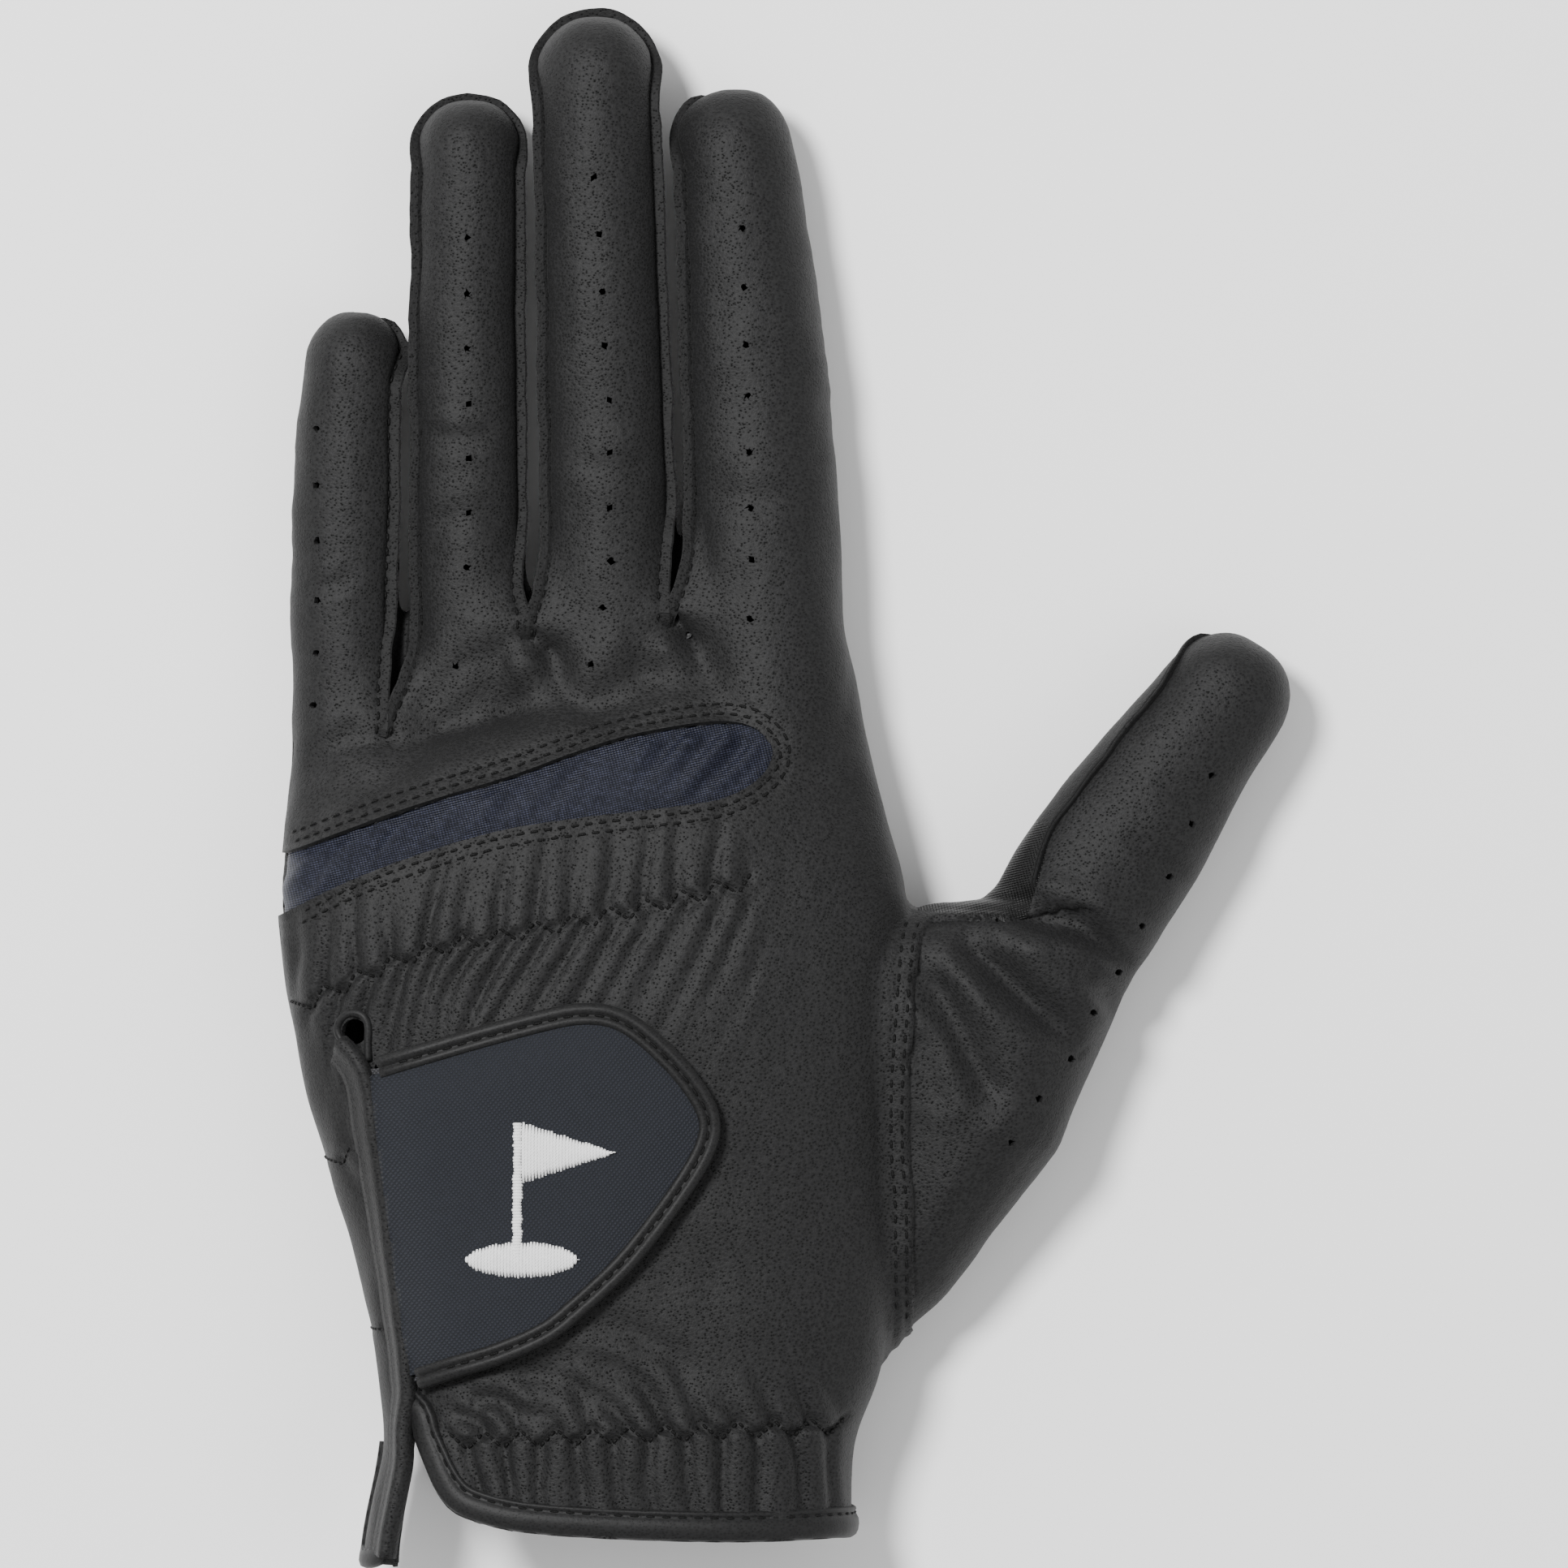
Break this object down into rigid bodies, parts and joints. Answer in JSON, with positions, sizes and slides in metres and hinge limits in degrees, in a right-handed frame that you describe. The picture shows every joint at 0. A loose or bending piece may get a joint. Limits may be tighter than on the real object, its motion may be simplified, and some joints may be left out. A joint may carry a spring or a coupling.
{
  "type": "golf glove",
  "caption": "Left-hand golf glove in worn shape, with bending fingers and thumb, a stretch knuckle panel and a closure tab that peels open.",
  "frame": {"origin": "under the middle of the glove, on the surface that it lies on, palm down", "axes": "+Y along the glove from cuff to fingertips, +X across the hand towards the thumb, +Z out of the back of the hand"},
  "size_m": [0.1398, 0.2151, 0.0337],
  "materials": {
    "leather": "fine pebbled semi-matte sheepskin, charcoal black",
    "side_leather": "softer matt sheepskin, charcoal black",
    "binding_leather": "smooth folded edge binding",
    "stretch_knit": "slightly glossy warp-knit stretch fabric, blue-black",
    "elastic": "woven elastic tape",
    "loop_pile": "brushed loop pile",
    "hook_nylon": "moulded nylon hooks",
    "woven_textile": "coarse woven ripstop textile, dark navy charcoal",
    "lining": "plain woven lining",
    "embroidery": "satin-stitch embroidery thread, white",
    "thread": "polyester sewing thread, black"
  },
  "bodies": {
    "hand": {"back_panel": "leather", "palm_panel": "leather", "side_panel": "leather", "thumb_base_panel": "leather", "thumb_web_gusset": "stretch_knit", "fourchette_roots": "side_leather", "knuckle_insert": "stretch_knit", "knuckle_elastic": "elastic", "wrist_elastic": "elastic", "palm_elastics": "elastic", "cuff_binding": "binding_leather", "slit_binding": "binding_leather", "tab_root_strip": "woven_textile", "loop_patch": "loop_pile"},
    "tab": {"tab_fabric": "woven_textile", "tab_lining": "lining", "tab_binding": "binding_leather", "hook_patch": "hook_nylon", "tab_emblem": "embroidery"},
    "index_lower": {"index_sleeve_lower": "leather", "index_fourchette_lower": "side_leather"},
    "index_upper": {"index_sleeve_upper": "leather", "index_fourchette_upper": "side_leather"},
    "middle_lower": {"middle_back_lower": "leather", "middle_palm_lower": "leather", "middle_fourchettes_lower": "side_leather"},
    "middle_upper": {"middle_back_upper": "leather", "middle_palm_upper": "leather", "middle_fourchettes_upper": "side_leather"},
    "ring_lower": {"ring_back_lower": "leather", "ring_palm_lower": "leather", "ring_fourchettes_lower": "side_leather"},
    "ring_upper": {"ring_back_upper": "leather", "ring_palm_upper": "leather", "ring_fourchettes_upper": "side_leather"},
    "little_lower": {"little_sleeve_lower": "leather", "little_fourchette_lower": "side_leather"},
    "little_upper": {"little_sleeve_upper": "leather", "little_fourchette_upper": "side_leather"},
    "thumb_lower": {"thumb_sleeve_lower": "leather", "thumb_gusset_lower": "stretch_knit"},
    "thumb_upper": {"thumb_sleeve_upper": "leather"}
  },
  "joints": [
    {"name": "index_root_bend", "type": "hinge", "parent": "hand", "child": "index_lower", "pos_m": [-0.00299, 0.02687, 0.00683], "axis": [-0.9974, -0.0715, 0], "range_deg": [0, 60]},
    {"name": "index_middle_bend", "type": "hinge", "parent": "index_lower", "child": "index_upper", "pos_m": [-0.00492, 0.05378, 0.00586], "axis": [-0.9974, -0.0715, 0], "range_deg": [0, 80]},
    {"name": "middle_root_bend", "type": "hinge", "parent": "hand", "child": "middle_lower", "pos_m": [-0.024, 0.02998, 0.00624], "axis": [-0.9995, -0.0323, 0], "range_deg": [0, 60]},
    {"name": "middle_middle_bend", "type": "hinge", "parent": "middle_lower", "child": "middle_upper", "pos_m": [-0.025, 0.06096, 0.00606], "axis": [-0.9995, -0.0323, 0], "range_deg": [0, 80]},
    {"name": "ring_root_bend", "type": "hinge", "parent": "hand", "child": "ring_lower", "pos_m": [-0.0433, 0.02399, 0.00533], "axis": [-0.9999, -0.011, 0], "range_deg": [0, 60]},
    {"name": "ring_middle_bend", "type": "hinge", "parent": "ring_lower", "child": "ring_upper", "pos_m": [-0.04361, 0.05199, 0.00524], "axis": [-0.9999, -0.011, 0], "range_deg": [0, 80]},
    {"name": "little_root_bend", "type": "hinge", "parent": "hand", "child": "little_lower", "pos_m": [-0.0606, 0.01198, 0.00494], "axis": [-0.9996, 0.0279, 0], "range_deg": [0, 60]},
    {"name": "little_middle_bend", "type": "hinge", "parent": "little_lower", "child": "little_upper", "pos_m": [-0.06001, 0.03297, 0.00481], "axis": [-0.9996, 0.0279, 0], "range_deg": [0, 80]},
    {"name": "thumb_root_bend", "type": "hinge", "parent": "hand", "child": "thumb_lower", "pos_m": [0.0373, -0.02254, 0.00689], "axis": [-0.8221, 0.5693, 0], "range_deg": [0, 40]},
    {"name": "thumb_end_bend", "type": "hinge", "parent": "thumb_lower", "child": "thumb_upper", "pos_m": [0.04925, -0.00529, 0.00594], "axis": [-0.8221, 0.5693, 0], "range_deg": [0, 60]},
    {"name": "tab_peel", "type": "hinge", "parent": "hand", "child": "tab", "pos_m": [-0.0534, -0.0597, 0.0266], "axis": [0.1419, -0.9889, -0.0443], "range_deg": [0, 120]}
  ]
}
